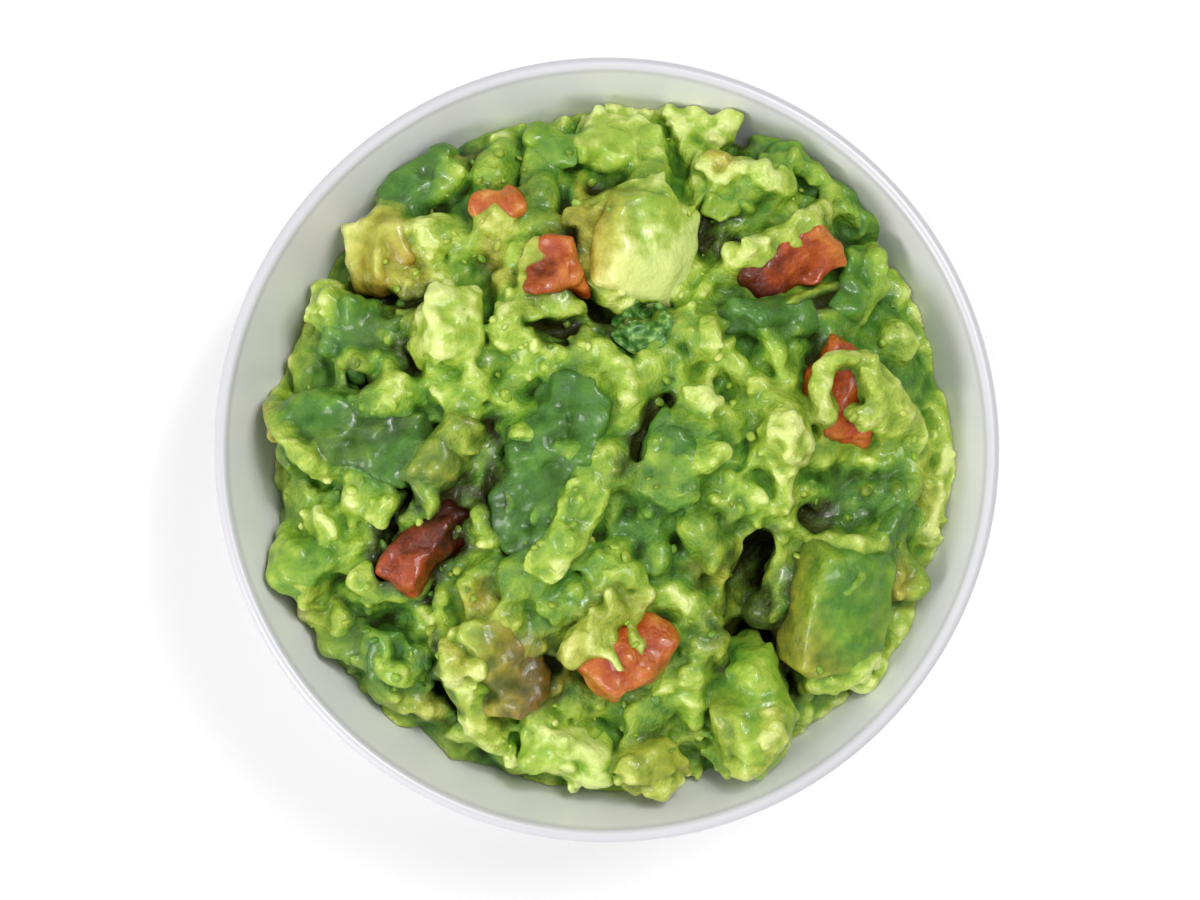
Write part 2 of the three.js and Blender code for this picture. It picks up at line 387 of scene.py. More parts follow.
def strand(places, radii, squash=1.0):
    """The distance to a round strand through places, taller than it is wide where squash is under 1."""
    reach = np.array([1, 1, 1 / squash]) * (max(radii) + SEAM)
    part, x, y, z = window(places.min(axis=0) - reach, places.max(axis=0) + reach)
    z = z * squash
    places = places * (1, 1, squash)
    shape = np.full((x.size, y.size, z.size), FAR, np.float32)
    for start, end, first, last in zip(places, places[1:], radii, radii[1:]):
        along = end - start
        dx, dy, dz = x - start[0], y - start[1], z - start[2]
        t = np.clip((dx * along[0] + dy * along[1] + dz * along[2]) / (along @ along + 1e-9), 0, 1)
        gap = np.sqrt((dx - t * along[0]) ** 2 + (dy - t * along[1]) ** 2 + (dz - t * along[2]) ** 2)
        shape = np.minimum(shape, gap - first - (last - first) * t)
    return part, shape.astype(np.float32)


# ---- noise that several steps share ----

WAVES_9 = noise(9.0, 1)
WAVES_5 = noise(5.0, 2)
WAVES_3 = noise(2.8, 3)
WAVES_2 = noise(1.7, 4)
WAVES_1 = noise(1.0, 5)


# ---- the dome ----

HEAP_RADIUS = 52
EDGE = 38.0
RISE = 17.5
SUNK = 2.1


def reach_of(angle):
    """The radius of the heap's edge, which stands further out towards the lower right."""
    reach = HEAP_RADIUS + 0.6 + 1.2 * np.cos(angle + 0.5)
    return reach + 0.7 * np.cos(3 * angle + 1.0) + 0.5 * np.cos(7 * angle)


def dome(x, y):
    """The height of the heap, with a slow swell, which falls away past its edge."""
    out = np.hypot(x, y) / reach_of(np.arctan2(y, x))
    inside = np.maximum(1 - out**2.5, 0)
    past = np.maximum(out - 1, 0) * HEAP_RADIUS
    bent_x = x / 7.3 + 1.3 * np.sin(y / 9.1)
    bent_y = y / 8.2 - 0.9 * np.sin(x / 11)
    swell = 0.9 * np.sin(bent_x) * np.cos(bent_y)
    swell = swell + 0.5 * np.sin(x / 3.4 + y / 5.9 + 2) * np.cos(y / 3.9 - x / 6.7)
    return EDGE + RISE * inside**0.72 - 1.6 * past + swell - SUNK


def make_dome():
    """The heap with soft folds: billows, round on top with a crease between them."""
    x, y = GRID[0][:, None], GRID[1][None, :]
    height = dome(x, y)
    slope = np.hypot(*np.gradient(height, STEP))
    steep = np.sqrt(1 + np.minimum(slope, 2.2) ** 2)
    distance[:] = (GRID[2][None, None, :] - height[:, :, None]) / steep[:, :, None]
    folds = np.abs(WAVES_5 + 0.35 * WAVES_3) - 0.75
    distance[:] -= 1.3 * folds + 0.22 * (np.abs(WAVES_2) - 0.8)
    # The tint follows the folds, paler on the billows and darker in the creases between them: painted light
    # and shade.
    tint[:] = 0.53 + 0.12 * WAVES_9 + 0.1 * folds + 0.05 * WAVES_3
    warm[:] = np.clip(0.12 * WAVES_9 - 0.06 * WAVES_5, 0, 0.36)


# ---- the pieces ----


def node_distance(node, part, shape):
    """The signed distance to a CAD node on a part of the grid."""
    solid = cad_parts[node]
    mesh = solid.data
    mesh.calc_loop_triangles()
    corners = np.empty(len(mesh.loop_triangles) * 3, np.int32)
    mesh.loop_triangles.foreach_get("vertices", corners)
    level = openvdb.FloatGrid.createLevelSetFromPolygons(
        (points_of(solid) - LOW).astype(np.float32),
        triangles=corners.reshape(-1, 3).astype(np.uint32),
        transform=openvdb.createLinearTransform(STEP),
        halfWidth=BAND,
    )
    values = np.zeros(shape, np.float32)
    level.copyToArray(values, ijk=tuple(piece.start for piece in part))
    return values


# The part of the grid and the signed distance of each piece. Crisp pieces keep their flat faces, round
# ones lose their edges, and the small dice are ragged.
PIECES = {}
MARGIN = 4.0
BAND = 10
CRISP = ("avocado_01", "avocado_08", "tomato_04")
ROUND = ("avocado_03", "avocado_14")
SMALL_DICE = ("tomato_05", "tomato_06")


def make_piece(node, softness, dents, ragged):
    """Keeps a piece: its node's shape with blurred edges, wide dents and small ragged ones."""
    low, high = node_box(node)
    part, x, y, z = window(low - MARGIN, high + MARGIN)
    shape = (x.size, y.size, z.size)
    values = blur(node_distance(node, part, shape), softness, 2)
    values = values + dents * (0.55 * WAVES_5[part] + 0.34 * WAVES_3[part] + 0.18 * WAVES_2[part])
    values = values + ragged * (0.3 * WAVES_3[part] + 0.26 * WAVES_2[part] + 0.1 * WAVES_1[part])
    PIECES[node] = (part, values.astype(np.float32))
    chunks[part] = np.minimum(chunks[part], values)


def side_of(node, x, y, lean):
    """How far a place lies to the side of a node that lean points to: 1 at the node's edge."""
    low, high = node_box(node)
    half = (high - low) / 2
    centre = middle(node)
    return lean[0] * (x - centre[0]) / half[0] + lean[1] * (y - centre[1]) / half[1]


def own_shades(node, x, y):
    """The shade and the warmth of a piece at places in plan."""
    look = LOOKS[node]
    shade = look["shade"] + side_of(node, x, y, look.get("lean", (0, 0)))
    warmth = look.get("warmth", 0) + side_of(node, x, y, look.get("heat", (0, 0)))
    return shade, np.clip(warmth, 0, 1)


def coat(node):
    """Draws the mash up around a piece and partly over it, more on the side that cover points to."""
    look = LOOKS[node]
    part, values = PIECES[node]
    x = GRID[0][part[0]][:, None, None]
    y = GRID[1][part[1]][None, :, None]
    rough = look.get("rough", 1.0)
    thickness = look["bias"] + side_of(node, x, y, look.get("cover", (0, 0)))
    thickness = thickness + rough * (0.5 * WAVES_5[part] + 0.35 * WAVES_3[part] + 0.2 * WAVES_2[part])
    own, warmth = own_shades(node, x, y)
    if node in TOMATO:
        own, warmth = 0.6, 0.2
    share = np.clip(thickness / 0.8, 0, 1)
    shades = own + (look["coat"] - own) * share + 0.06 * WAVES_3[part] + 0.04 * WAVES_1[part]
    warmth = warmth + (look.get("coat_warmth", 0.04) - warmth) * share
    fillet = np.clip(2.2 + 1.2 * WAVES_9[part], 0.8, 3.6)
    inset = 0.7 if node in CRISP else 0.3
    join(part, values + inset, fillet, own, warmth)
    join(part, values - np.clip(thickness, -1.5, 1.3), 0.6, shades, warmth)


# What each piece looks like. On avocado the shade runs from 0, the dark green under the skin, to 1, the
# cream by the stone, and on tomato from dark red to pale orange. Warmth goes to olive and brown. Lean,
# heat and cover say to which side, in plan, the shade, the warmth and the mash's cover grow. Bias says
# how much mash covers it, rough how unevenly, and coat and coat_warmth how that mash looks. On some
# pieces the lean and heat also paint light and shade, the lit side lighter and the far side darker, and
# some shades are low as painted shade; the rows below say where.
LOOKS = {
    # avocado_01: its lower right face is painted cream and its left olive, partly the flesh's colour and
    # partly painted light and painted shade.
    "avocado_01": dict(shade=0.88, lean=(0.3, -0.4), warmth=0.14, heat=(-0.7, 0), bias=-1.7,
                       cover=(-0.3, 1.5), coat=0.7),
    "avocado_02": dict(shade=0.62, lean=(-0.1, 0.1), warmth=0.52, heat=(0.1, -0.12), bias=-0.9,
                       rough=0.9, coat=0.56, coat_warmth=0.4),
    "avocado_03": dict(shade=0.84, lean=(-0.06, 0.1), warmth=0.08, bias=-1.1, rough=0.6,
                       cover=(0.6, -0.8), coat=0.78),
    "avocado_04": dict(shade=0.2, lean=(-0.08, 0.05), bias=-1.0, cover=(-0.7, 0.2), coat=0.66),
    "avocado_05": dict(shade=0.22, lean=(-0.14, 0), warmth=0.04, bias=-0.9, cover=(-0.2, -0.3), coat=0.4),
    "avocado_06": dict(shade=0.2, lean=(0.12, -0.1), bias=-1.3, cover=(0.7, -0.1), coat=0.56),
    "avocado_07": dict(shade=0.24, bias=-0.45, cover=(0.3, 0.2), rough=1.3, coat=0.5),
    # avocado_08: its left end is painted olive, partly the flesh's colour and partly painted shade on the
    # face away from the light.
    "avocado_08": dict(shade=0.42, lean=(-0.02, -0.05), warmth=0.1, heat=(-0.36, 0), bias=-1.2,
                       cover=(0.15, 0.85), coat=0.68),
    "avocado_09": dict(shade=0.6, lean=(0.04, -0.04), warmth=0.08, bias=-0.95, cover=(0, 0.95), coat=0.68),
    # avocado_10: its right side is painted brown and darker as the painted shadow of tomato_04, its left
    # lighter as painted light.
    "avocado_10": dict(shade=0.42, lean=(-0.26, 0.1), warmth=0.4, heat=(0.4, -0.1), bias=-1.1,
                       cover=(-0.5, 0.1), coat=0.72, coat_warmth=0.15),
    "avocado_11": dict(shade=0.4, lean=(-0.16, 0), warmth=0.1, bias=-1.1, cover=(0.4, 0.3), coat=0.5),
    "avocado_12": dict(shade=0.24, bias=-0.9, cover=(0.7, 0), coat=0.7),
    "avocado_13": dict(shade=0.36, lean=(0, 0.08), bias=-1.0, cover=(0.1, -0.5), coat=0.55),
    "avocado_14": dict(shade=0.84, lean=(0.12, 0.08), bias=-1.3, rough=0.6, cover=(-0.8, 0.3), coat=0.7),
    "avocado_15": dict(shade=0.56, warmth=0.3, bias=-0.7, coat=0.6, coat_warmth=0.25),
    "avocado_16": dict(shade=0.72, bias=-0.4, rough=1.4, coat=0.8),
    "avocado_17": dict(shade=0.2, bias=-0.5, rough=1.3, coat=0.4),
    "avocado_18": dict(shade=0.42, bias=-0.5, cover=(-0.4, 0), coat=0.56),
    "avocado_19": dict(shade=0.6, lean=(-0.1, 0), bias=-0.4, cover=(-0.1, 0.5), coat=0.7),
    "avocado_20": dict(shade=0.34, bias=-0.7, cover=(0.8, 0), coat=0.6),
    "avocado_21": dict(shade=0.22, bias=-0.5, rough=1.2, coat=0.36),
    "avocado_22": dict(shade=0.34, warmth=0.22, bias=-0.2, coat=0.4, coat_warmth=0.15),
    "avocado_23": dict(shade=0.5, lean=(-0.16, 0.1), bias=-0.9, cover=(-0.3, 0.3), coat=0.68),
    "avocado_24": dict(shade=0.18, lean=(-0.06, -0.1), bias=-0.7, rough=1.2, cover=(0.2, 0), coat=0.42),
    "tomato_01": dict(shade=0.36, lean=(0.26, 0.08), bias=-1.3, cover=(-0.5, 0.6), coat=0.66),
    "tomato_02": dict(shade=0.5, lean=(-0.1, -0.1), bias=-1.6, cover=(0.9, 0.3), rough=0.5, coat=0.72),
    # tomato_03: painted dark red as painted shade, deep in a crevice.
    "tomato_03": dict(shade=0.1, lean=(-0.12, -0.2), bias=-1.9, rough=0.6, coat=0.5),
    "tomato_04": dict(shade=0.62, lean=(-0.05, 0.1), rough=0.4, bias=-1.9, cover=(-0.9, 0.7), coat=0.74,
                      coat_warmth=0.3),
    "tomato_05": dict(shade=0.46, lean=(0.14, 0), bias=-0.4, cover=(-0.4, 0.3), coat=0.72,
                      coat_warmth=0.3),
    "tomato_06": dict(shade=0.6, bias=-0.1, rough=1.7, coat=0.72, coat_warmth=0.4),
}


# ---- the mash's ridges, lumps and hollows ----


def place(node, offset):
    """A place in plan, by its offset in millimetres from a node's middle."""
    return middle(node)[:2] + offset


def ridge(heights, node, route, width, lift, shade, warmth=0.0, rough=0.6, blend=1.4):
    """A strand of mash along a route of offsets from a node, its middle lifted off the surface."""
    plan = curve([place(node, offset) for offset in route])
    places = np.array([(x, y, at(heights, x, y) + lift) for x, y in plan])
    share = np.linspace(0, 1, len(places))
    radii = width / 2 * (0.55 + 0.45 * np.sqrt(np.sin(np.pi * np.clip(share, 0.02, 0.98))))
    radii = radii * (1 + 0.16 * np.sin(9 * share + plan[0, 0]))
    part, shape = strand(places, radii)
    shape = shape + rough * (0.25 * WAVES_3[part] + 0.2 * WAVES_2[part] + 0.07 * WAVES_1[part])
    join(part, shape, blend, shade + 0.06 * WAVES_3[part], warmth)


def lump(heights, node, offset, radii, shade, warmth=0.0, yaw=0.0, sink=0.25, rough=0.5, blend=0.8):
    """An egg of mash on the surface, sunk by a share of its height."""
    x, y = place(node, offset)
    centre = (x, y, at(heights, x, y) - sink * radii[2])
    part, x, y, z = around(centre, max(radii) + SEAM)
    shape = egg(centre, radii, turned(math.radians(yaw)), x, y, z)
    shape = shape + rough * (0.3 * WAVES_3[part] + 0.25 * WAVES_2[part] + 0.08 * WAVES_1[part])
    join(part, shape, blend, shade + 0.06 * WAVES_3[part], warmth)


def pit(heights, node, offset, radius, depth, blend=0.7):
    """A hollow in the mash, longer than it is wide, its sides painted dark as painted shade."""
    x, y = place(node, offset)
    centre = (x, y, at(heights, x, y))
    part, x, y, z = around(centre, max(1.7 * radius, depth) + SEAM)
    shape = egg(centre, (1.7 * radius, 0.8 * radius, depth), turned(0.7 * centre[0]), x, y, z)
    cut_and_paint_shade(part, shape + 0.5 * WAVES_3[part] + 0.4 * WAVES_2[part], blend)


def crease(heights, node, route, width, depth, shade=0.04, blend=0.6):
    """A narrow gap along a route of offsets from a node, or mash taken off a piece. Its sides take the tint
    shade, dark by default as painted shade.
    """
    plan = curve([place(node, offset) for offset in route])
    places = np.array([(x, y, at(heights, x, y) - 0.2 * depth) for x, y in plan])
    part, shape = strand(places, np.full(len(places), width / 2), width / 2 / depth)
    cut_and_paint_shade(part, shape + 0.4 * WAVES_3[part] + 0.3 * WAVES_2[part], blend, shade)


# A node, the route, the width and the lift, then the shade, the warmth, the roughness and the seam.
RIDGES = (
    ("avocado_16", [(-5.4, 3.5), (0.6, 5.5), (6.6, 4.5), (10, 2)], 4.2, 0.2, 0.84, 0, 1.1),
    ("avocado_19", [(-5.9, 7), (-3.4, 2.1), (1.1, 3.7), (7.8, 0.2), (7.3, -2.9)], 2.6, 0.8, 0.86, 0, 1),
    ("avocado_19", [(-6, 4), (-6.6, -1), (-3, -4)], 3.2, 0.4, 0.76),
    ("avocado_01", [(-8.1, 10.8), (-7.7, 5), (-7.2, 0)], 2.6, 0.6, 0.78, 0.3),
    ("avocado_01", [(-1, 9.5), (4, 8.2), (9, 4)], 2.4, 0.4, 0.88, 0.05, 1.1),
    ("avocado_03", [(-3.5, -5.3), (-2, -8), (-1, -11.4)], 3.2, 0.4, 0.66),
    ("avocado_03", [(2.4, -6), (4, -8.6), (7.9, -11.4)], 3.0, 0.4, 0.6),
    ("avocado_04", [(-9.2, 3.6), (-7.2, 6), (-5.1, 7.7)], 2.4, 0.8, 0.9),
    ("avocado_04", [(-3.9, -3.3), (-0.5, -5.2), (3, -7.6)], 1.7, 0.7, 0.8),
    ("avocado_05", [(-12.2, 7.2), (-11.8, 3), (-9, -1), (-4.9, -5.5)], 3.6, 0.7, 0.7, 0.12, 0.4),
    ("avocado_06", [(10.4, 12), (9, 4.2), (5, -2), (1.4, -9), (-1.8, -15)], 6.6, -0.8, 0.82, 0.06, 0.2),
    ("avocado_06", [(-9.4, 1.8), (-8.6, -2), (-7.6, -5.8)], 1.0, 0.4, 0.82, 0, 0.3),
    ("avocado_07", [(-11.8, 17.5), (-8.4, 12.5), (-6.4, 7), (-5.2, 3), (-8.5, -2)], 4.8, 0.5, 0.74, 0, 1.2),
    ("avocado_07", [(14.6, 4), (10.9, 0.1), (8, -3.4)], 2.0, 0.7, 0.74),
    ("avocado_07", [(2.6, -8.6), (5.4, -12), (10.4, -13.4)], 3.4, 0.4, 0.66, 0.1),
    ("avocado_21", [(-8.3, -3.4), (-3.7, -7.7), (2.1, -13), (4.4, -19.1), (3.6, -22.9), (3.4, -27.5)],
     5.6, 1.2, 0.7, 0.1, 0.3),
    ("avocado_21", [(0.1, -2.3), (2.6, -5.6), (3.9, -10.7)], 3.4, 0.8, 0.7, 0, 0.4),
    ("tomato_02", [(-3.6, -3), (-4.2, 1.4), (-1.4, 5), (3.4, 4.4), (5.2, 0.4), (3.8, -3.4), (0.6, -2.8)],
     3.6, 0.7, 0.74, 0.12, 1.1, 0.9),
    ("tomato_02", [(4, 2), (7.4, -2), (6.6, -7)], 5, 0.2, 0.66, 0.1, 1.1),
    ("avocado_12", [(9.4, 14.5), (10.2, 10), (9.4, 4), (8, -1)], 3.8, 0.2, 0.84, 0.08, 0.9),
    ("avocado_08", [(-7.4, 11.8), (-3, 10.5), (3.2, 9.2), (6.6, 8.6)], 2.4, 0.4, 0.78, 0.1, 0.7),
    ("avocado_08", [(-2, 6), (0.8, 1.6), (4, 5.4)], 0.9, 0.1, 0.64, 0, 0.3),
    ("avocado_08", [(6.2, -7.4), (2, -10.6), (-3, -11.6), (-7.4, -12.6)], 3.6, 0.4, 0.8, 0, 1.2),
    ("avocado_11", [(-5, 4.4), (-5.4, 0.6), (-3.4, -3.8)], 2.4, 0.4, 0.74, 0.25, 0.4),
    ("avocado_10", [(-8, 6), (-6, -0.6), (-3.4, -6.6), (0.8, -12)], 6, 0.7, 0.86, 0.04, 0.2),
    ("avocado_10", [(-5, 2.4), (-5.8, -1.4)], 1.7, 0.3, 0.5, 0.85, 0.5),
    ("avocado_10", [(-1.6, -8), (-4.4, -10.6), (-8, -11.4)], 1.1, 0.4, 0.72, 0.1),
    ("avocado_10", [(0.4, -10), (-3, -12.4), (-7, -14)], 1.2, 0.4, 0.68),
    ("tomato_04", [(3.6, 8.8), (-2.4, 5.2), (-6.6, 1.2), (-9.2, -3.4)], 4.4, 0.6, 0.74, 0.34, 0.6),
    ("tomato_04", [(-4.8, 2.6), (-1.8, -1), (0.8, -3.4)], 1.3, 0.3, 0.86, 0.15, 0.5),
    ("tomato_04", [(0.4, 5.4), (1.8, 2), (4.2, -0.2)], 1.2, 0.3, 0.86, 0.15, 0.5),
    ("avocado_09", [(4.6, -2), (4.8, -6.6), (1.6, -10.2), (-2.4, -9.6)], 2.6, 0.2, 0.74, 0.3, 0.4),
    ("avocado_09", [(-6.6, 6.4), (-7.4, 1), (-7.2, -4)], 3.0, 0.6, 0.68),
    ("avocado_14", [(1, -3), (1, -5.4)], 2.4, 0.2, 0.84),
    ("tomato_01", [(-10, -2.2), (-4.6, 1.6), (0.4, 4), (6, 6.6)], 4.4, 0.8, 0.6, 0.1, 0.5),
    ("tomato_01", [(-9, -7), (-1, -8), (6.4, -4.6)], 2.6, 0.3, 0.8, 0.05),
    ("avocado_24", [(-5, 4), (-2, 1.6), (-4, -2)], 1.8, 0.5, 0.36),
    ("avocado_24", [(1, 3), (2.6, -1), (0, -4)], 1.6, 0.5, 0.3),
    ("avocado_22", [(7, -4), (5, -8), (6, -13)], 3.0, 0.2, 0.5, 0.1),
    ("avocado_13", [(-4, 6), (2, 2), (8, -5)], 2.0, 0.3, 0.6, 0, 0.5),
    ("avocado_20", [(2, 6), (3, 0), (0, -7)], 2.4, 0.2, 0.62),
)

# A node, the offset, the radii and the shade, then the warmth and the turn in degrees.
LUMPS = (
    ("avocado_18", (-7, -0.4), (3.2, 4.8, 2.8), 0.84),
    # A pale knob where a highlight stands: a real lump with a painted highlight.
    ("avocado_18", (-7.3, 3.5), (2.2, 2, 2), 0.94),
    ("avocado_17", (6.3, 3.2), (2, 1.6, 1.4), 0.42, 0.7),
    ("avocado_01", (-8.6, -0.6), (3.4, 7, 3.4), 0.52, 0.5),
    ("avocado_16", (-6.1, 5.3), (2.4, 1.4, 1.4), 0.5, 0.9),
    ("tomato_06", (3.4, -2.3), (2.8, 2.4, 2.2), 0.84),
    ("tomato_05", (-6.5, 2), (2.2, 2.6, 1.6), 0.5, 0.65),
    ("tomato_05", (-6.3, -2.6), (2.4, 2.8, 1.8), 0.56, 0.5),
    ("tomato_05", (0.4, -5.2), (5.2, 2.4, 2.2), 0.8),
    ("tomato_05", (5, -4), (2.6, 3, 2.2), 0.86),
    ("avocado_03", (10.5, 0.4), (4.6, 4, 3.4), 0.72),
    ("avocado_04", (-6, 4), (4.2, 3.2, 2.6), 0.66, 0, 40),
    ("avocado_07", (4.8, 9.2), (2.4, 2.2, 2.2), 0.85),
    ("avocado_07", (5.1, 0.4), (2.2, 2.2, 2), 0.85),
    ("avocado_07", (7.1, -15.1), (3.4, 2.6, 1.8), 0.6, 0.7),
    ("avocado_19", (-2.9, 9.3), (2.3, 2.2, 2), 0.86),
    ("avocado_19", (4, 7), (4, 3, 2.8), 0.42),
    ("avocado_19", (-2.2, 4.7), (2.2, 1.8, 1.4), 0.36, 0.95),
    ("avocado_20", (5, -1), (3.2, 4, 2.8), 0.76),
    ("avocado_20", (9, -4.4), (3.8, 3.6, 2.8), 0.8),
    ("avocado_20", (11.4, -9.6), (3, 3.6, 2.4), 0.7),
    ("avocado_20", (6, -9.4), (3.6, 3, 2.6), 0.78),
    ("avocado_20", (12.2, -5.7), (1.6, 1.6, 1.2), 0.36, 0.85),
    ("avocado_20", (7, 4.5), (3, 3.6, 2.4), 0.6),
    ("avocado_06", (-5.6, 7.1), (1.9, 1.3, 1.1), 0.9, 0, 20),
    ("avocado_06", (1.6, 4.4), (2.2, 1.8, 1.3), 0.62),
    ("avocado_06", (-1, 15), (2.6, 2, 1.6), 0.66),
    ("avocado_06", (-1.6, -13.6), (3, 3.4, 2), 0.8),
    ("avocado_06", (-4.8, -16), (4.6, 4.4, 2.6), 0.2),
    ("avocado_05", (-4.1, -11.1), (2.2, 1.8, 1.4), 0.85),
    ("avocado_05", (0.7, -15.4), (1.8, 1.6, 1.3), 0.85),
    ("avocado_05", (-13, 1.8), (1.2, 2.4, 1.4), 0.55, 0.9),
    ("avocado_24", (-0.3, -2), (3, 2.4, 1.6), 0.56),
    ("avocado_24", (3.8, 6.4), (2.4, 3.4, 2), 0.78),
    ("avocado_24", (2.8, -8.1), (2.6, 1.8, 1.4), 0.4, 0.7),
    ("avocado_10", (-1.5, 8.9), (2.6, 2.2, 1.8), 0.4, 0.9),
    ("avocado_10", (1.5, 8.6), (1.4, 1.4, 1.3), 0.9, 0.1),
    ("avocado_14", (-7.8, -2.7), (1.7, 1.4, 1.3), 0.9),
    ("avocado_15", (-3.4, -1.4), (3, 2.6, 2.4), 0.56, 0.25),
    ("avocado_15", (1.5, -4), (3, 2.6, 2.4), 0.66, 0.2),
    # A reddish lump painted dark: painted shade beside the deep gap left of avocado_08.
    ("avocado_09", (-1.3, 12.2), (2.6, 2.4, 1.6), 0.32, 0.9),
    ("avocado_08", (-5, -17), (2.6, 2, 1.8), 0.76),
    ("avocado_08", (-2, -19.4), (2.6, 2, 1.8), 0.8),
    ("avocado_08", (3.4, -11.6), (3, 2.4, 2), 0.78),
    ("avocado_08", (6, -9), (2.4, 2.8, 2), 0.72),
    ("avocado_08", (9.5, -2.6), (2.6, 4, 2.4), 0.7),
    ("avocado_08", (9.5, 2.5), (1.6, 1.6, 1.2), 0.36, 0.85),
    ("avocado_12", (7.7, 2.7), (1.4, 2.6, 1.4), 0.8, 0.4),
    ("tomato_04", (-3, 9.6), (3.4, 2.6, 2.2), 0.6, 0.15),
)

# A node, the offset, the radius and the depth. Their sides get painted shade.
PITS = (
    ("avocado_19", (0.9, 8.7), 1.5, 3.4),
    ("avocado_19", (-4.9, -4.4), 1.9, 2.4),
    ("avocado_19", (0.2, -6.2), 2.1, 2.4),
    ("avocado_20", (0.2, 6.5), 1.2, 2.5),
    ("avocado_08", (-4.2, 13.5), 1.6, 3.4),
    ("avocado_10", (8.4, -1), 2.2, 3),
)

# A node, the route, the width and the depth, then the tint painted on what is cut, dark by default as
# painted shade.
CREASES = (
    # The deep gap left of avocado_08, its sides painted near black as painted shade.
    ("avocado_08", [(-11.6, 8), (-13.8, 0), (-12.8, -8)], 7.4, 11),
    ("tomato_05", [(-3, -8.2), (0.6, -9.8), (3.4, -8)], 1.6, 3.4),
    ("tomato_03", [(-3.4, -6), (0, 0), (4.4, 7)], 5.4, 2.2),
    ("tomato_05", [(-1, -1.2), (2.4, -0.2)], 5, 1.4, 0.5),
    ("tomato_01", [(-5, -3.4), (0, -2.2), (6, 0.6)], 4.6, 1.6, 0.5),
    ("avocado_07", [(-1.7, 11.1), (-4.5, 4.5), (-7.8, -1.8)], 1.8, 4),
    ("tomato_03", [(-3, 7.6), (-5.8, 2), (-7.4, -5)], 1.8, 3.6),
    ("tomato_03", [(5.4, 5), (3.4, -1.4), (-0.6, -8)], 1.8, 3.6),
    ("avocado_01", [(-10, 2), (-9.6, -5), (-4, -10.6), (4, -9.6)], 1.6, 2.6),
    ("avocado_06", [(-10, 8), (-10.6, 0), (-8, -12)], 1.5, 2.4),
    ("avocado_04", [(-2, -6.4), (4, -6.6), (8, -3.4)], 1.6, 3),
    ("avocado_02", [(-6.4, -5), (0, -7), (6.4, -5)], 1.6, 2.6),
    ("tomato_01", [(-9, -6.6), (0, -8.4), (7, -6)], 1.6, 2.6),
    ("avocado_10", [(-8.6, 5), (-8.8, -3), (-5, -8)], 1.6, 3),
    ("avocado_09", [(6.8, 8), (7.2, 0), (6.6, -7)], 1.8, 3.4),
)


# ---- the steps that shape the field ----

CUT = LOW[2] + 2 * STEP
HIGHEST = 59.0
MOST_TRIANGLES = 196_000
LOBES_A_LAYER = 20


def make_pieces():
    for node in AVOCADO:
        dents, ragged = (0.5, 0.05) if node in CRISP else (1.1, 0.4)
        make_piece(node, 3 if node in ROUND else 1, dents, ragged)
    for node in TOMATO:
        make_piece(node, 1, 0.8, 1.2 if node in SMALL_DICE else 0.2)


def sink_beside_pieces():
    """Lowers the mash a little beside the pieces, more in some places than in others."""
    near = np.exp(-((chunks - 0.6) / 1.1) ** 2)
    distance[:] += near * np.clip(0.3 + 0.8 * WAVES_5, 0, 1.6)


def add_lobes(seed, count):
    """Flat soft lobes of mash that overlap like shingles, each with a shade of its own.

    The surface that they are laid on is found again after each layer of them.
    """
    random = np.random.default_rng(seed)
    for turn in range(count):
        if turn % LOBES_A_LAYER == 0:
            heights = blur(surface_height(distance), 2, 1)
            pieces = surface_height(chunks)
        x, y = anywhere(random, HEAP_RADIUS)
        top = at(heights, x, y)
        radii = np.array([random.uniform(3.4, 6.6), random.uniform(2.4, 4.4), random.uniform(1.4, 2.2)])
        axes = turned(random.uniform(-math.pi, math.pi), *np.radians(random.uniform(-28, 28, 2)))
        shade = 0.52 + 0.3 * random.uniform(-1, 1)
        if at(pieces, x, y) > top + 0.3:
            continue
        centre = (x, y, top + random.uniform(-0.5, 0.4))
        part, gx, gy, gz = around(centre, max(radii) + SEAM)
        shape = egg(centre, radii, axes, gx, gy, gz) + 0.3 * WAVES_3[part] + 0.12 * WAVES_2[part]
        join(part, shape, 0.5, shade + 0.05 * WAVES_3[part], max(random.normal(0.02, 0.09), 0))


def add_features():
    """Ridges first, then lumps on them, then pits and creases."""
    heights = skyline()
    for feature in RIDGES:
        ridge(heights, *feature)
    heights = skyline(1)
    for node, offset, radii, shade, *rest in LUMPS:
        lump(heights, node, offset, radii, shade, *rest)
    heights = skyline(1)
    for feature in PITS:
        pit(heights, *feature)
    for feature in CREASES:
        crease(heights, *feature)


def scatter(seed, count, low, high, blend, sink, lighter):
    """Grains from low to high mm on the mash, in clusters where it is light, and none on bare pieces."""
    random = np.random.default_rng(seed)
    heights = surface_height(distance)
    pieces = surface_height(chunks)
    clusters = WAVES_5[:, :, COUNT[2] // 2] + 0.6 * WAVES_9[:, :, COUNT[2] // 2]
    for _ in range(count):
        x, y = anywhere(random, HEAP_RADIUS + 2)
        size = low * (high / low) ** random.uniform(0, 1)
        top = at(heights, x, y)
        cube = cube_at(x, y, top)
        here = tint[cube]
        chance = 0.35 + 1.5 * (here - 0.5) + 0.35 * at(clusters, x, y)
        if random.uniform(0, 1) > chance or at(pieces, x, y) > top + 0.1:
            continue
        centre = (x, y, top - sink * size)
        radii = size * random.uniform(0.6, 1.9, 3)
        part, gx, gy, gz = around(centre, max(radii) + blend * size + STEP)
        axes = turned(*random.uniform(-math.pi, math.pi, 3))
        shade = np.clip(here + lighter + random.normal(0, 0.09), 0.1, 1)
        join(part, egg(centre, radii, axes, gx, gy, gz), blend * size, shade, warm[cube])


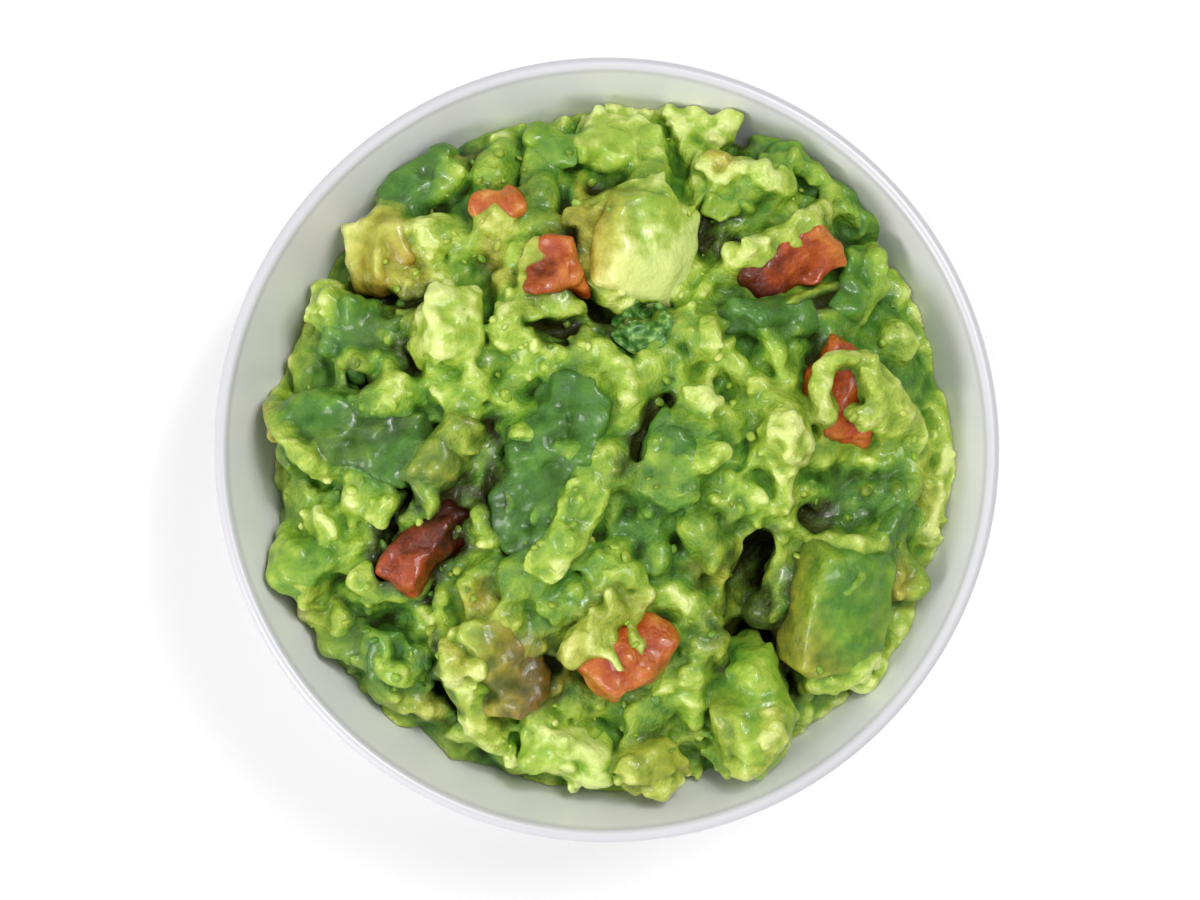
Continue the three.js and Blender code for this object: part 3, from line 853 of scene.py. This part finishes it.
def crumble():
    """Small bumps all over, higher where the mash is light."""
    high = np.clip((tint - 0.25) * 2, 0.25, 1)
    round_tops = np.clip(0.5 + WAVES_5, 0, 1)
    bumps = (2 * round_tops - 1) * (np.abs(WAVES_2) - 0.8)
    distance[:] -= high * (0.14 * bumps + 0.12 * WAVES_1)
    # The tint rises with the finest bumps: painted light on their tops and painted shade between them.
    tint[:] += 0.05 * WAVES_2 + 0.04 * high * WAVES_1


def lower_peaks():
    """Takes off what stands above the highest place the frame's box leaves room for."""
    z = GRID[2][None, None, :]
    distance[:] = np.maximum(distance, z - HIGHEST - 0.2 * WAVES_3)


def tear():
    """Bends the mash and the pieces by small uneven shifts, which makes every edge ragged."""
    shifts = np.stack([
        0.3 * np.roll(WAVES_5, 61 * turn + 20, axis=1) + 0.2 * np.roll(WAVES_2, 47 * turn + 30, axis=0)
        + 0.1 * np.roll(WAVES_1, 53 * turn + 40, axis=1)
        for turn in range(3)
    ])
    near = np.abs(distance) < 2.4
    cells = np.argwhere(near)
    places = LOW + STEP * cells + shifts[:, near].T
    streaks = LOW + STEP * cells + 2.4 * shifts[:, near].T
    for field, spots in ((distance, places), (tint, streaks), (warm, streaks)):
        field[near] = sample(field, spots)
    chunks[:] = FAR
    for node, (part, values) in PIECES.items():
        near = np.abs(values) < 2.0
        local = shifts[(slice(None),) + part][:, near].T
        bent = values.copy()
        bent[near] = sample(values, LOW + STEP * np.argwhere(near) + (0.4 if node in CRISP else 0.9) * local)
        PIECES[node] = (part, bent)
        chunks[part] = np.minimum(chunks[part], bent)


def clip_by_bowl():
    """Keeps the mash inside the bowl and above the flat cut under it."""
    x, y, z = GRID[0][:, None, None], GRID[1][None, :, None], GRID[2][None, None, :]
    from_wall = (np.hypot(x, y) - wall_radius(z) + 0.1) * math.cos(RIM_LEAN)
    distance[:] = np.maximum(distance, from_wall)
    distance[:] = np.maximum(distance, CUT - z)


# ---- meshes from the field ----


def surface_of(values, first=(0, 0, 0)):
    """The zero surface of a signed distance, as points and triangles."""
    band = 3 * STEP
    grid = openvdb.FloatGrid(band)
    grid.copyFromArray(np.clip(values, -band, band))
    points, faces = grid.convertToQuads(0.0)
    faces = faces[:, ::-1].astype(np.int64)
    triangles = np.vstack([faces[:, [0, 1, 2]], faces[:, [0, 2, 3]]])
    return points * STEP + LOW + STEP * np.array(first), triangles


def keep_largest(points, faces):
    """Drops loose crumbs of surface, and keeps the part with the most points."""
    label = np.arange(len(points))
    while True:
        lowest = label[faces].min(axis=1)
        before = label.copy()
        np.minimum.at(label, faces.ravel(), np.repeat(lowest, faces.shape[1]))
        label = label[label]
        if (label == before).all():
            break
    names, counts = np.unique(label, return_counts=True)
    kept = label == names[np.argmax(counts)]
    index = np.cumsum(kept) - 1
    return points[kept], index[faces[kept[faces[:, 0]]]]


def open_loops(faces):
    """The loops of points round a mesh's openings, each in the order that closing faces need."""
    edges = np.vstack([faces[:, [k, (k + 1) % 3]] for k in range(3)])
    have = set(map(tuple, edges.tolist()))
    after = {b: a for a, b in have if (b, a) not in have}
    loops = []
    while after:
        loop = [next(iter(after))]
        while after[loop[-1]] != loop[0]:
            loop.append(after[loop[-1]])
        for point in loop:
            del after[point]
        loops.append(np.array(loop))
    return sorted(loops, key=len, reverse=True)


def fan(loop, centre):
    """Triangles from a loop of points to one more."""
    return np.stack([loop, np.roll(loop, -1), np.full(len(loop), centre)], axis=1)


def fill_bowl(points, faces):
    """Opens the mash's flat cut and closes it again by rings down the bowl's inside to its floor."""
    flat = (points[faces][:, :, 2] < CUT + 0.6 * STEP).all(axis=1)
    faces = faces[~flat]
    edge, *holes = open_loops(faces)
    added = [points]
    sides = [faces]
    count = len(points)
    for hole in holes:
        added.append(points[hole].mean(axis=0, keepdims=True))
        sides.append(fan(hole, count))
        count += 1
    angle = np.arctan2(points[edge, 1], points[edge, 0])
    rings = [edge]
    last = inner_wall(0)
    profile = [(wall_radius(z) - 0.15, z) for z in np.linspace(CUT - 2.5, last[1] + 0.6, 6)]
    profile += [(last[0] * 0.55, FLOOR + 0.9)]
    for radius, z in profile:
        ring = np.stack([radius * np.cos(angle), radius * np.sin(angle), np.full(len(edge), z)], axis=1)
        rings.append(count + np.arange(len(edge)))
        added.append(ring)
        count += len(edge)
    added.append(np.array([[0, 0, FLOOR + 0.3]]))
    for upper, lower in zip(rings, rings[1:]):
        sides.append(np.stack([upper, np.roll(upper, -1), lower], axis=1))
        sides.append(np.stack([np.roll(upper, -1), np.roll(lower, -1), lower], axis=1))
    sides.append(fan(rings[-1], count))
    return np.vstack(added), np.vstack(sides)


def fewer_faces(piece, most):
    """Takes triangles away where the surface is flattest, until few enough are left."""
    modifier = piece.modifiers.new("fewer_faces", "DECIMATE")
    modifier.ratio = min(most / len(piece.data.polygons), 1)
    graph = bpy.context.evaluated_depsgraph_get()
    slim = bpy.data.meshes.new_from_object(piece.evaluated_get(graph))
    piece.modifiers.clear()
    piece.data = slim


def hollow_shade_and_gloss(points):
    """From -0.6 on a ridge to 1 deep in a hollow: the mask for painted light on ridges, painted shade and
    less gloss in hollows.
    """
    return np.clip(-sample(NEAR_MEAN, points) / 1.3 - sample(WIDE_MEAN, points) / 1.4, -0.6, 1)


def add_piece(piece, node):
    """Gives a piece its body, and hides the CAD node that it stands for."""
    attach(piece, "root")
    if node:
        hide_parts(node)


# ---- the food ----

make_dome()
make_pieces()
sink_beside_pieces()
add_lobes(seed=5, count=150)
for node in LOOKS:
    coat(node)
add_features()
distance[:] = blur(distance, 1, 2)
lower_peaks()
tear()
scatter(seed=7, count=120, low=1.4, high=2.6, blend=0.7, sink=0.6, lighter=0.03)
scatter(seed=8, count=1000, low=0.5, high=1.1, blend=0.6, sink=0.5, lighter=0.04)
crumble()
clip_by_bowl()

# Blurred distances for the hollow mask, which paints shade into hollows and light onto ridges.
both = np.minimum(distance, chunks)
NEAR_MEAN = blur(both, 1, 2)
WIDE_MEAN = blur(both, 4, 2)

points, faces = keep_largest(*surface_of(distance))
mash = new_mesh("guacamole_mash", *fill_bowl(points, faces))
fewer_faces(mash, MOST_TRIANGLES)
points = points_of(mash)
add_numbers(mash.data, {
    "tint": sample(tint, points), "warm": sample(warm, points), "hollow": hollow_shade_and_gloss(points),
})
add_piece(mash, "mash")

made = {"mash": [mash], "avocado": [], "tomato": []}
for node in AVOCADO + TOMATO:
    part, values = PIECES[node]
    points, faces = surface_of(values, [piece.start for piece in part])
    points, faces = keep_largest(points, faces)
    shade, warmth = own_shades(node, points[:, 0], points[:, 1])
    shade = shade + 0.05 * sample(WAVES_3, points) + 0.04 * sample(WAVES_1, points)
    warmth = warmth + 0.07 * sample(WAVES_5, points)
    piece = new_mesh(node + "_flesh", points, faces)
    add_numbers(piece.data, {
        "tint": shade, "warm": np.clip(warmth, 0, 1), "hollow": hollow_shade_and_gloss(points),
    })
    kind = node.split("_")[0]
    add_piece(piece, node)
    made[kind].append(piece)


# ---- loose grains and the herb leaf ----


def loose_grains(seed, count):
    """Small grains that lie on the food, with a shade and a warmth for each point."""
    random = np.random.default_rng(seed)
    heights = surface_height(np.minimum(distance, chunks))
    bare = surface_height(chunks) - surface_height(distance)
    half_circle = [(math.sin(polar), -math.cos(polar)) for polar in np.linspace(0, math.pi, 7)]
    shape, triangles = turned_shape(half_circle, 9)
    points, faces, shades, warmths = [], [], [], []
    for index in range(count):
        x, y = anywhere(random, HEAP_RADIUS - 2)
        size = 0.3 * 2.0 ** random.uniform(0, 1.2)
        radii = size * random.uniform(0.6, 1.8, 3)
        bumps = 1 + 0.14 * np.sin(shape @ random.uniform(-4, 4, 3) + index)
        grain = (shape * bumps[:, None] * radii) @ turned(*random.uniform(-math.pi, math.pi, 3))
        top = at(heights, x, y)
        if at(bare, x, y) > 0 and index % 8 or top > HIGHEST:
            continue
        points.append(grain + (x, y, top + 0.25 * size))
        faces.append(triangles + (len(points) - 1) * len(shape))
        here = tint[cube_at(x, y, top)]
        shades += [np.clip(here + random.normal(0.06, 0.08), 0.3, 1)] * len(shape)
        warmths += [np.clip(random.normal(0.08, 0.1), 0, 1)] * len(shape)
    return np.vstack(points), np.vstack(faces), np.array(shades), np.array(warmths)


points, faces, shades, warmths = loose_grains(seed=21, count=170)
grains = new_mesh("avocado_crumbs", points, faces)
# A hollow of -0.2 paints the loose grains a little lighter: painted light, as on ridges.
add_numbers(grains.data, {"tint": shades, "warm": warmths, "hollow": np.full(len(points), -0.2)})
add_piece(grains, None)
made["avocado"].append(grains)


def leaf():
    """The crinkled herb leaf, a thin closed sheet."""
    length, width, thick = 9.6, 7.4, 0.36
    across, along = 15, 21
    cosine, sine = math.cos(0.2), math.sin(0.2)
    heights = skyline(2)
    top = []
    for v in np.linspace(-1, 1, along):
        for u in np.linspace(-1, 1, across):
            edge = math.sqrt(max(1 - abs(v) ** 2.4, 0.02)) * (1 + 0.13 * math.sin(7 * v + 2 * u))
            px, py = length / 2 * v, width / 2 * u * edge
            x, y = place("herb_01", (px * cosine - py * sine, px * sine + py * cosine))
            fold = 0.55 * math.sin(3.1 * px / 2 + 1.3 * py) + 0.4 * math.sin(2.3 * py - 0.7 * px)
            top.append((x, y, at(heights, x, y) + 0.8 + 0.7 * fold - 0.5 * abs(u)))
    top = np.array(top)
    count = across * along
    faces = []
    for j in range(along - 1):
        for i in range(across - 1):
            a = j * across + i
            faces.append((a, a + across, a + across + 1, a + 1))
            faces.append((count + a, count + a + 1, count + a + across + 1, count + a + across))
    rim = list(range(across)) + [j * across + across - 1 for j in range(1, along)]
    rim += [count - 1 - i for i in range(1, across)] + [j * across for j in range(along - 2, 0, -1)]
    for a, b in zip(rim, rim[1:] + rim[:1]):
        faces.append((a, b, count + b, count + a))
    return np.vstack([top, top - (0, 0, thick)]), np.array(faces)


points, faces = leaf()
herb = new_mesh("herb_leaf", points, faces)
add_piece(herb, "herb_01")

bowl = new_mesh("bowl_glazed", *turned_shape(bowl_profile(), BOWL_TURNS))
add_piece(bowl, "bowl")


# ---- materials ----


def paint(red, green, blue):
    """A colour for a shader from the usual 0 to 255."""
    def linear(value):
        value /= 255
        return value / 12.92 if value <= 0.04045 else ((value + 0.055) / 1.055) ** 2.4
    return (linear(red), linear(green), linear(blue), 1)


def new_material(name):
    made_material = bpy.data.materials.new(name)
    made_material.use_nodes = True
    tree = made_material.node_tree
    return made_material, tree, tree.nodes["Principled BSDF"]


def node_of(tree, kind, **settings):
    new = tree.nodes.new(kind)
    for key, value in settings.items():
        setattr(new, key, value)
    return new


def put(shader_node, values):
    """Sets a node's sockets by name."""
    for socket, value in values.items():
        shader_node.inputs[socket].default_value = value


def spread(tree, value, start, end, low, high):
    """Maps a value from start..end onto low..high, and no further."""
    new = node_of(tree, "ShaderNodeMapRange")
    put(new, {"From Min": start, "From Max": end, "To Min": low, "To Max": high})
    tree.links.new(value, new.inputs["Value"])
    return new.outputs["Result"]


def attribute(tree, name):
    return node_of(tree, "ShaderNodeAttribute", attribute_name=name).outputs["Fac"]


def maths(tree, operation, first, second):
    new = node_of(tree, "ShaderNodeMath", operation=operation)
    for socket, value in zip(new.inputs, (first, second)):
        if isinstance(value, (int, float)):
            socket.default_value = value
        else:
            tree.links.new(value, socket)
    return new.outputs[0]


def mottle(tree, size, detail=2.0):
    """Noise from 0 to 1 with spots about size mm across."""
    new = node_of(tree, "ShaderNodeTexNoise")
    put(new, {"Scale": 1 / (size * MM), "Detail": detail})
    where = node_of(tree, "ShaderNodeTexCoord").outputs["Object"]
    tree.links.new(where, new.inputs["Vector"])
    return new.outputs["Fac"]


def ramp(tree, value, stops):
    new = node_of(tree, "ShaderNodeValToRGB")
    elements = new.color_ramp.elements
    while len(elements) < len(stops):
        elements.new(0.5)
    for element, (position, colour) in zip(elements, stops):
        element.position = position
        element.color = paint(*colour)
    tree.links.new(value, new.inputs["Fac"])
    return new.outputs["Color"]


def mix(tree, share, first, second):
    new = node_of(tree, "ShaderNodeMix", data_type="RGBA")
    tree.links.new(share, new.inputs["Factor"])
    for socket, value in zip((new.inputs[6], new.inputs[7]), (first, second)):
        tree.links.new(value, socket)
    return new.outputs[2]


def wet_food(name, cool, hot, depth, bumps, roughness):
    """Moist flesh: cool and hot are its colours from dark to light, without and with warmth.

    It is less glossy in the hollows, and the hollow attribute times depth paints shade into them and light
    onto the ridges.
    """
    made_material, tree, shader = new_material(name)
    # Painted shade in the hollows and painted light on the ridges: the tint less the hollow times depth.
    shadow = maths(tree, "MULTIPLY", attribute(tree, "hollow"), depth)
    shade = maths(tree, "SUBTRACT", attribute(tree, "tint"), shadow)
    spots = maths(tree, "SUBTRACT", mottle(tree, 1.6, 4), 0.5)
    shade = maths(tree, "ADD", shade, maths(tree, "MULTIPLY", spots, 0.44))
    warmth = maths(tree, "ADD", attribute(tree, "warm"), maths(tree, "MULTIPLY", spots, 0.2))
    colour = mix(tree, warmth, ramp(tree, shade, cool), ramp(tree, shade, hot))
    tree.links.new(colour, shader.inputs["Base Color"])
    dull = spread(tree, mottle(tree, 3.0), 0, 1, *roughness)
    tree.links.new(dull, shader.inputs["Roughness"])
    bump = node_of(tree, "ShaderNodeBump")
    put(bump, {"Strength": bumps, "Distance": 0.6 * MM})
    tree.links.new(mottle(tree, 0.8, 8), bump.inputs["Height"])
    tree.links.new(bump.outputs["Normal"], shader.inputs["Normal"])
    wet = spread(tree, attribute(tree, "hollow"), 0.1, 0.7, 0.35, 0.04)
    tree.links.new(wet, shader.inputs["Coat Weight"])
    tree.links.new(maths(tree, "MULTIPLY", wet, 1.4), shader.inputs["Specular IOR Level"])
    put(shader, {
        "Subsurface Weight": 0.3,
        "Subsurface Radius": (1.0, 0.9, 0.35),
        "Subsurface Scale": 1.1 * MM,
        "Coat Roughness": 0.14,
        "IOR": 1.4,
    })
    return made_material


GREENS = (
    (0.0, (42, 54, 15)), (0.16, (57, 97, 30)), (0.34, (80, 129, 38)), (0.52, (110, 153, 42)),
    (0.68, (138, 174, 51)), (0.84, (168, 195, 72)), (1.0, (211, 226, 134)),
)
PIECE_GREENS = ((0.0, (54, 90, 30)), (0.2, (68, 114, 38))) + GREENS[2:]
BROWNS = (
    (0.0, (58, 32, 8)), (0.3, (128, 78, 24)), (0.5, (178, 124, 42)), (0.7, (206, 164, 70)),
    (1.0, (238, 220, 140)),
)
REDS = (
    (0.0, (52, 14, 4)), (0.25, (106, 38, 8)), (0.5, (166, 68, 15)), (0.75, (194, 112, 38)),
    (1.0, (220, 182, 102)),
)

MASH = wet_food("mash_wet", GREENS, BROWNS, 0.44, 0.9, (0.28, 0.5))
FLESH = wet_food("flesh_wet", PIECE_GREENS, BROWNS, 0.3, 0.5, (0.3, 0.5))
RED = wet_food("tomato_wet", REDS, BROWNS, 0.25, 0.7, (0.2, 0.4))


def glaze():
    """White glaze, painted greyer along the top of the rim as painted shade that dims its bright band."""
    made_material, tree, shader = new_material("porcelain_glaze")
    pale = ramp(tree, mottle(tree, 30.0), ((0.3, (226, 224, 227)), (0.7, (230, 228, 231))))
    # Grey for the rim's top: painted shade.
    rim_painted_shade = ramp(tree, mottle(tree, 30.0), ((0.3, (200, 199, 204)), (0.7, (205, 204, 208))))
    axes = node_of(tree, "ShaderNodeSeparateXYZ")
    tree.links.new(node_of(tree, "ShaderNodeTexCoord").outputs["Object"], axes.inputs["Vector"])
    height = spread(tree, axes.outputs["Z"], (HEIGHT - 1.6) * MM, (HEIGHT - 0.5) * MM, 0, 1)
    tree.links.new(mix(tree, height, pale, rim_painted_shade), shader.inputs["Base Color"])
    put(shader, {"Roughness": 0.3})
    return made_material


def herb_green():
    made_material, tree, shader = new_material("herb_green")
    spots = ((0.32, (40, 82, 28)), (0.5, (78, 130, 50)), (0.66, (150, 192, 104)))
    colour = ramp(tree, mottle(tree, 1.2, 4), spots)
    tree.links.new(colour, shader.inputs["Base Color"])
    put(shader, {"Roughness": 0.35})
    return made_material


def floor_paint():
    made_material, tree, shader = new_material("floor_plain")
    pale = ramp(tree, mottle(tree, 60.0), ((0.3, (250, 250, 250)), (0.7, (252, 252, 252))))
    tree.links.new(pale, shader.inputs["Base Color"])
    put(shader, {"Roughness": 0.85, "Specular IOR Level": 0.2})
    return made_material


for kind, look in (("mash", MASH), ("avocado", FLESH), ("tomato", RED)):
    for piece in made[kind]:
        piece.data.materials.append(look)
herb.data.materials.append(herb_green())
bowl.data.materials.append(glaze())

FLOOR_SIZE = 4.0
bpy.ops.mesh.primitive_plane_add(size=FLOOR_SIZE)
floor = bpy.context.object
floor.name = "floor"
floor.data.materials.append(floor_paint())

# ---- camera and light ----

LENS = 157
SENSOR = 36
FRAMED_HEIGHT = 0.0465
CAMERA_RISE = 0.8
SKY_LEVEL = 0.5
SKY_SIDE = (-0.34, -0.27, 0.0)

camera_data = bpy.data.cameras.new("camera")
camera = bpy.data.objects.new("camera", camera_data)
bpy.context.scene.collection.objects.link(camera)
camera_data.lens = LENS
camera_data.sensor_width = SENSOR
camera.location = (-0.001, 0.0, FRAMED_HEIGHT + CAMERA_RISE)
bpy.context.scene.camera = camera

world = bpy.data.worlds.new("world")
bpy.context.scene.world = world
world.use_nodes = True
background = world.node_tree.nodes["Background"]
background.inputs["Color"].default_value = (1, 1, 1, 1)
facing = world.node_tree.nodes.new("ShaderNodeTexCoord").outputs["Generated"]
towards = world.node_tree.nodes.new("ShaderNodeVectorMath")
towards.operation = "DOT_PRODUCT"
towards.inputs[1].default_value = SKY_SIDE
world.node_tree.links.new(facing, towards.inputs[0])
softbox = maths(world.node_tree, "ADD", towards.outputs["Value"], SKY_LEVEL)
world.node_tree.links.new(softbox, background.inputs["Strength"])


def lamp(name, spot, size, power):
    """A round soft light that points at the food."""
    data = bpy.data.lights.new(name, "AREA")
    data.shape = "DISK"
    data.size = size
    data.energy = power
    light = bpy.data.objects.new(name, data)
    bpy.context.scene.collection.objects.link(light)
    light.location = spot
    light.rotation_euler = (Vector((0, 0, 0.04)) - Vector(spot)).to_track_quat("-Z", "Y").to_euler()
    return light


lamp("key", (0.28, 0.22, 0.8), 0.4, 3.8)
lamp("glint", (0.2, 0.3, 0.8), 0.07, 0.9)
lamp("fill", (-0.6, -0.42, 0.56), 0.35, 3.6)
bpy.context.scene.view_settings.view_transform = "Standard"
